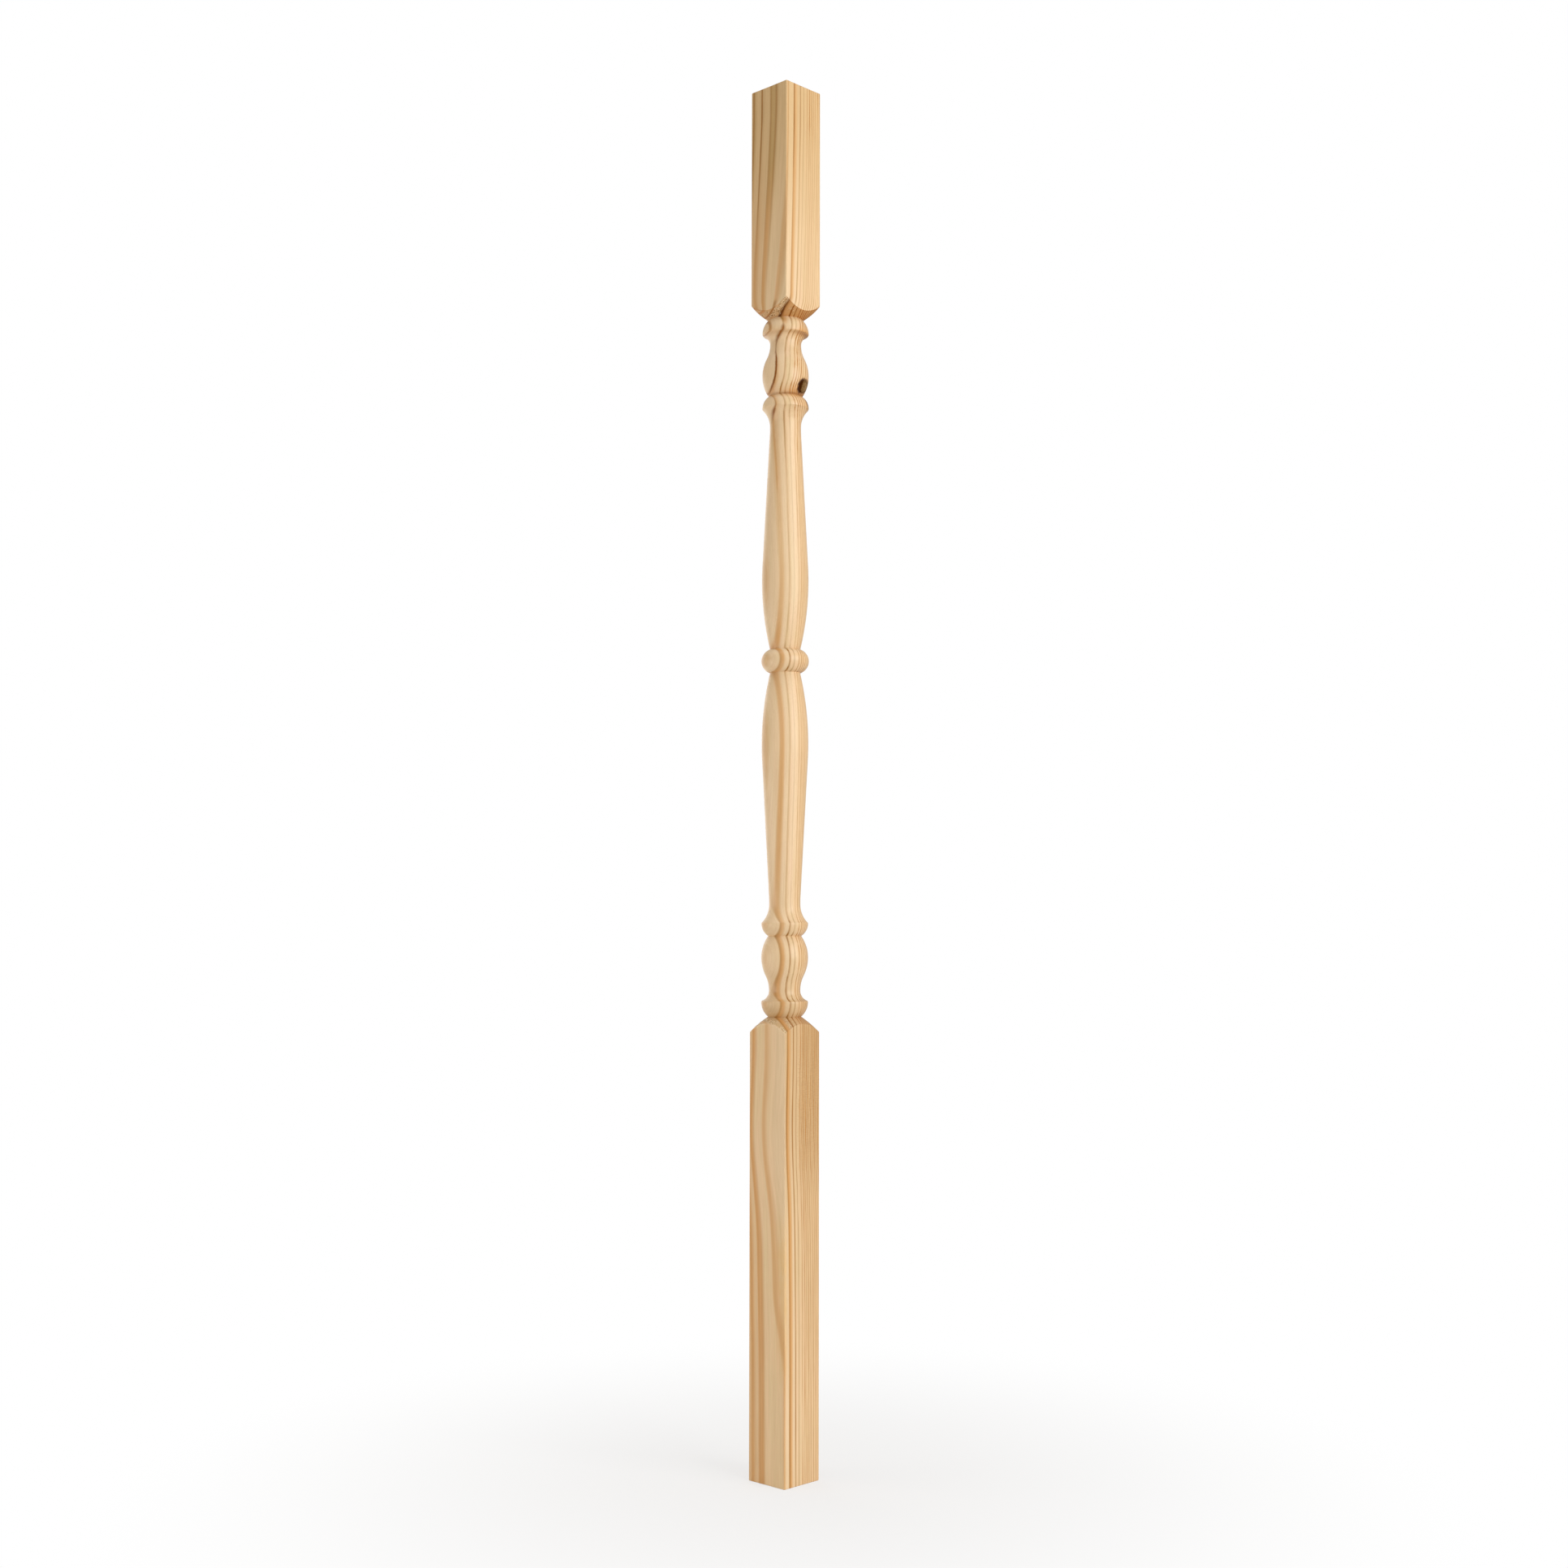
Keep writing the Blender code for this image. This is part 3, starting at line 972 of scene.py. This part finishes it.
def fibre_shade(grain):
    """How much lighter or darker the fibres make the wood, with curls and ripples about the lower knot."""
    sockets = {0: grain.growth, 1: grain.x * 0.1 + FIGURE_START, 2: grain.z}
    along_rings = grain.node("CombineXYZ", {}, sockets)
    figure = grain.noise(along_rings, FIGURE_CELLS, 3.0, 0.65) - 0.5
    curly = grain.heartward(CURLY_RINGS)
    curls = grain.spots(KNOT_CURLS) * curly
    ripples = grain.lumps(RIPPLE_CELLS, 2.0, 0.6) * grain.spots(KNOT_RIPPLES) * curly
    streaks = grain.smooth(grain.lumps(STREAK_CELLS, 1.0), 0.05, 0.18)
    streaks = streaks * grain.heartward(STREAKY_RINGS)
    figure = figure * (0.28 + 0.15 * grain.heartward(INNER_RINGS) + 0.35 * curls)
    smooth_part = grain.clouds * 0.12 + grain.fibres * 0.22 + grain.hairs * 0.18
    return smooth_part + figure + ripples * 0.4 - streaks * 0.07


def pine(colours):
    """Planed pine with its rings, knots, resin, torn end grain and fibres."""
    material = bpy.data.materials.new("pine")
    material.use_nodes = True
    shader = material.node_tree.nodes["Principled BSDF"]
    grain = Grain(material.node_tree)

    wood, latewood = ringed_wood(grain, colours)
    wood, thread = resin_thread(grain, wood, colours)
    wood, bead_resin_and_shade = groove_resin_and_shade(grain, wood, colours)
    wood, shoulder_resin = shoulder_wood(grain, wood, colours)
    wood, torn_bumps = torn_wood(grain, wood, colours)
    bumps = latewood * 0.25 + grain.fibres * 0.5 + grain.hairs * 0.25 + torn_bumps
    dull = thread * 0.6 + shoulder_resin * 0.8 + bead_resin_and_shade * 0.8 + grain.end_grain * grain.upper * 0.6
    for tip, radius in KNOTS:
        wood, dents, inside = knot_wood(grain, tip, radius, wood, colours)
        bumps = bumps + dents
        dull = dull + inside

    # Fibres change red least and blue most
    shade = fibre_shade(grain)
    tones = {0: 1.0 + shade * 0.75, 1: 1.0 + shade, 2: 1.0 + shade * 1.35}
    wood = grain.mix(1.0, wood, grain.node("CombineXYZ", {}, tones), "MULTIPLY")

    # The lathe burnished the turned skin. Resin, knots and end grain are dull.
    gloss = grain.fibres * 0.12 + grain.end_grain * 0.16 - latewood * 0.08
    gloss = gloss - grain.attribute("turned_skin") * 0.22
    sockets = {"Strength": BUMP_STRENGTH, "Distance": BUMP_HEIGHT, "Height": bumps}
    normal = grain.node("Bump", {}, sockets)
    grain.feed(shader.inputs["Base Color"], wood)
    grain.feed(shader.inputs["Roughness"], grain.clamp(PINE_ROUGHNESS + gloss))
    grain.feed(shader.inputs["Normal"], normal)
    shader.inputs["Metallic"].default_value = 0.0
    shader.inputs["Specular IOR Level"].default_value = 0.5
    sockets = {"Base Color": wood, "Normal": normal, "Roughness": 1.0, "Specular IOR Level": 0.0}
    grain.mix_surface(grain.clamp(dull), shader, grain.node("BsdfPrincipled", {}, sockets))
    return material


def pale_floor():
    """A pale floor with a faint shadow round the foot, which fades into the white surroundings."""
    material = bpy.data.materials.new("pale_floor")
    material.use_nodes = True
    graph = Graph(material.node_tree)
    shader = material.node_tree.nodes["Principled BSDF"]
    shader.inputs["Base Color"].default_value = (*FLOOR_TONE, 1.0)
    shader.inputs["Roughness"].default_value = FLOOR_ROUGHNESS
    x, y, _ = graph.split(graph.coordinates("Object"))
    away = graph.math("SQRT", x * x + y * y)
    shaded = (1 - graph.smooth(away, *SHADOW_REACH)) * SHADOW_SHARE
    seen = graph.node("LightPath", {}, {}, "Is Camera Ray")
    white = graph.node("Emission", {}, {"Color": (*WHITE, 1.0)})
    graph.mix_surface(seen * (1 - shaded), shader, white)
    return material


def white_surroundings(strength):
    """A world that is white to the camera and lights the spindle with the given strength."""
    world = bpy.data.worlds.new("studio")
    world.use_nodes = True
    graph = Graph(world.node_tree)
    background = world.node_tree.nodes["Background"]
    background.inputs["Color"].default_value = (*WHITE, 1.0)
    seen = graph.node("LightPath", {}, {}, "Is Camera Ray")
    graph.feed(background.inputs["Strength"], seen * (1.0 - strength) + strength)
    return world


def add_object(name, data):
    piece = bpy.data.objects.new(name, data)
    bpy.context.scene.collection.objects.link(piece)
    return piece


def amount(name, description, default, unit="LENGTH", low=0.0):
    """A property that holds one number: a length, unless another unit is given."""
    return FloatProperty(name=name, description=description, default=default, unit=unit, min=low)


def tint(name, description, default):
    """A property that holds a linear red, green and blue."""
    return FloatVectorProperty(
        name=name, description=description, default=default, size=3, subtype="COLOR", min=0.0, max=1.0)


class SpindleSizes(PropertyGroup):
    """Sizes of the blank and the turning."""

    ring_radius: amount("Ring radius", "Radius of the ring in the middle of the shaft", 0.0154, low=0.005)
    belly_radius: amount(
        "Belly radius", "Radius of the beads, the vases and the shaft's bellies", 0.0151, low=0.005)
    neck_radius: amount("Neck radius", "Radius of the shaft's and the vases' necks", 0.0101, low=0.003)
    arris_round: amount("Arris", "Radius that eases the blank's long corners", 0.0008, low=0.0001)
    columns: IntProperty(
        name="Columns", description="Columns of faces round the spindle", default=160, min=64)


class PineColours(PropertyGroup):
    """Colours of the wood."""

    olive_wood: tint("Olive wood", "Soft wood with a slight olive tint", (0.735, 0.54, 0.295))
    pink_wood: tint("Pink wood", "Soft wood with a slight pink tint", (0.79, 0.545, 0.32))
    heart_wood: tint("Heart wood", "Wood between the fine rings", (0.74, 0.5, 0.265))
    pale_wood: tint("Pale wood", "Palest soft wood, beside the ring with resin", (0.79, 0.58, 0.355))
    bark_side_wood: tint("Bark side wood", "Soft wood between the outermost rings", (0.69, 0.44, 0.22))
    # Brown wood, which beside the arris on the +X face is painted shade
    dense_wood_and_shade: tint("Dense wood", "Brown wood about the lower knot", (0.55, 0.345, 0.155))
    golden_wood: tint("Golden wood", "Patch on the front corner above the foot", (0.74, 0.44, 0.15))
    tan_wood: tint("Tanned wood", "Wood that light has turned yellow, at the top", (0.64, 0.425, 0.195))
    stain: tint("Ring stain", "Orange stain of the wide growth rings", (0.615, 0.305, 0.09))
    olive_stain: tint("Olive stain", "Stain of the outer rings towards the top", (0.48, 0.29, 0.09))
    latewood: tint("Latewood", "Dark line of a growth ring", (0.35, 0.15, 0.022))
    fine_latewood: tint("Fine latewood", "Dark line of a narrow growth ring", (0.43, 0.155, 0.006))
    resin: tint("Resin", "Dark thread of resin", (0.25, 0.082, 0.012))
    shoulder_resin: tint("Shoulder resin", "Resin in the upper shoulder's end grain", (0.13, 0.035, 0.003))
    resin_glow: tint("Resin glow", "Orange wood that resin has soaked", (0.62, 0.3, 0.085))
    # End grain's own tone, and painted shade on the upper shoulder, which faces down
    end_grain_and_shade_tone: tint("End grain tone", "Multiplies the wood's colour on end grain", (0.72, 0.52, 0.315))
    # Painted shade at the bottom of the torn end grain
    torn_pit_shade: tint("Torn pits", "Bottom of the torn end grain", (0.27, 0.13, 0.04))
    torn_fibre: tint("Torn fibres", "Lifted ends of torn fibres", (0.84, 0.7, 0.46))
    knot_grey: tint("Knot, grey", "Knot along its length", (0.325, 0.205, 0.1))
    knot_brown: tint("Knot, brown", "Knot behind its tip", (0.21, 0.12, 0.045))
    knot_dark: tint("Knot, dark", "Knot at its tip", (0.11, 0.045, 0.012))
    bark: tint("Bark", "Bark round a dead knot", (0.05, 0.014, 0.002))


class StageSettings(PropertyGroup):
    """Floor, lights and camera."""

    key_power: amount("Key", "Power of the large soft light on the right", 39.0, "POWER")
    fill_power: amount("Fill", "Power of the low soft light on the left", 6.4, "POWER")
    rim_power: amount("Rim", "Power of the soft light behind, on the left", 6.5, "POWER")
    top_power: amount("Top", "Power of the soft light overhead", 17.0, "POWER")
    world_strength: amount("Surroundings", "Strength of the light from all round", 0.44, "NONE")
    camera_distance: amount("Camera distance", "From the spindle's axis, along the floor", 1.304)
    camera_height: amount("Camera height", "Above the floor", 0.3583)
    camera_azimuth: FloatProperty(
        name="Camera azimuth", description="Round the axis from the -Y side",
        default=math.radians(44.1), subtype="ANGLE")


class SPINDLE_OT_turn(Operator):
    """Makes the turned spindle with its pine, in place of the plain solid"""

    bl_idname = "spindle.turn"
    bl_label = "Turn Spindle"

    def execute(self, context):
        piece = add_object("turned_spindle", spindle_mesh(context.scene.spindle_sizes))
        piece.data.materials.append(pine(context.scene.spindle_colours))
        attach(piece, "root")
        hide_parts("spindle")
        return {"FINISHED"}


def soft_light(name, place, aim, size, colour, power):
    """A square area light, turned towards a height on the spindle's axis."""
    light = bpy.data.lights.new(name, "AREA")
    light.shape = "SQUARE"
    light.size = size
    light.energy = power
    light.color = colour
    lamp = add_object(name, light)
    lamp.location = place
    lamp.rotation_euler = (Vector((0.0, 0.0, aim)) - Vector(place)).to_track_quat("-Z", "Y").to_euler()
    return lamp


def photo_camera(settings):
    """A camera that sees the spindle as the photo does."""
    data = bpy.data.cameras.new("camera")
    data.sensor_width = SENSOR_WIDTH
    data.lens = SENSOR_WIDTH * FOCAL_PIXELS / PHOTO_PIXELS
    data.shift_x, data.shift_y = CAMERA_SHIFT
    camera = add_object("camera", data)
    azimuth = Matrix.Rotation(settings.camera_azimuth, 4, "Z")
    tilt = Matrix.Rotation(CAMERA_TILT, 4, "X")
    roll = Matrix.Rotation(CAMERA_ROLL, 4, "Z")
    camera.location = azimuth @ Vector((0.0, -settings.camera_distance, settings.camera_height))
    camera.rotation_euler = (azimuth @ tilt @ roll).to_euler()
    return camera


class SPINDLE_OT_stage(Operator):
    """Sets the pale floor, the soft lights and the camera"""

    bl_idname = "spindle.stage"
    bl_label = "Set Stage"

    def execute(self, context):
        settings = context.scene.spindle_stage
        scene = context.scene
        mesh = bpy.data.meshes.new("floor")
        corners = [(x, y, 0.0) for x, y in product((-FLOOR_HALF, FLOOR_HALF), repeat=2)]
        mesh.from_pydata(corners, [], [(0, 2, 3, 1)])
        floor = add_object("floor", mesh)
        floor.data.materials.append(pale_floor())
        scene.world = white_surroundings(settings.world_strength)
        for name, place, aim, size, colour in LIGHTS:
            lamp = soft_light(name, place, aim, size, colour, getattr(settings, f"{name}_power"))
            # The camera doesn't see the rim light, which stands inside the picture
            lamp.visible_camera = name != "rim"
        scene.camera = photo_camera(settings)
        scene.view_settings.view_transform = "Standard"
        return {"FINISHED"}


class SPINDLE_PT_panel(Panel):
    """Lists each step with its settings"""

    bl_label = "Stair Spindle"
    bl_idname = "SPINDLE_PT_panel"
    bl_space_type = "VIEW_3D"
    bl_region_type = "UI"
    bl_category = "Spindle"

    def draw(self, context):
        scene = context.scene
        for operator, groups in (
            (SPINDLE_OT_turn, (scene.spindle_sizes, scene.spindle_colours)),
            (SPINDLE_OT_stage, (scene.spindle_stage,)),
        ):
            self.layout.operator(operator.bl_idname)
            for group in groups:
                for name in type(group).__annotations__:
                    self.layout.prop(group, name)


CLASSES = (SpindleSizes, PineColours, StageSettings, SPINDLE_OT_turn, SPINDLE_OT_stage, SPINDLE_PT_panel)


def register():
    for item in CLASSES:
        bpy.utils.register_class(item)
    bpy.types.Scene.spindle_sizes = PointerProperty(type=SpindleSizes)
    bpy.types.Scene.spindle_colours = PointerProperty(type=PineColours)
    bpy.types.Scene.spindle_stage = PointerProperty(type=StageSettings)


def unregister():
    del bpy.types.Scene.spindle_stage
    del bpy.types.Scene.spindle_colours
    del bpy.types.Scene.spindle_sizes
    for item in reversed(CLASSES):
        bpy.utils.unregister_class(item)


def main():
    register()
    bpy.ops.spindle.turn()
    bpy.ops.spindle.stage()


if __name__ == "__main__":
    main()
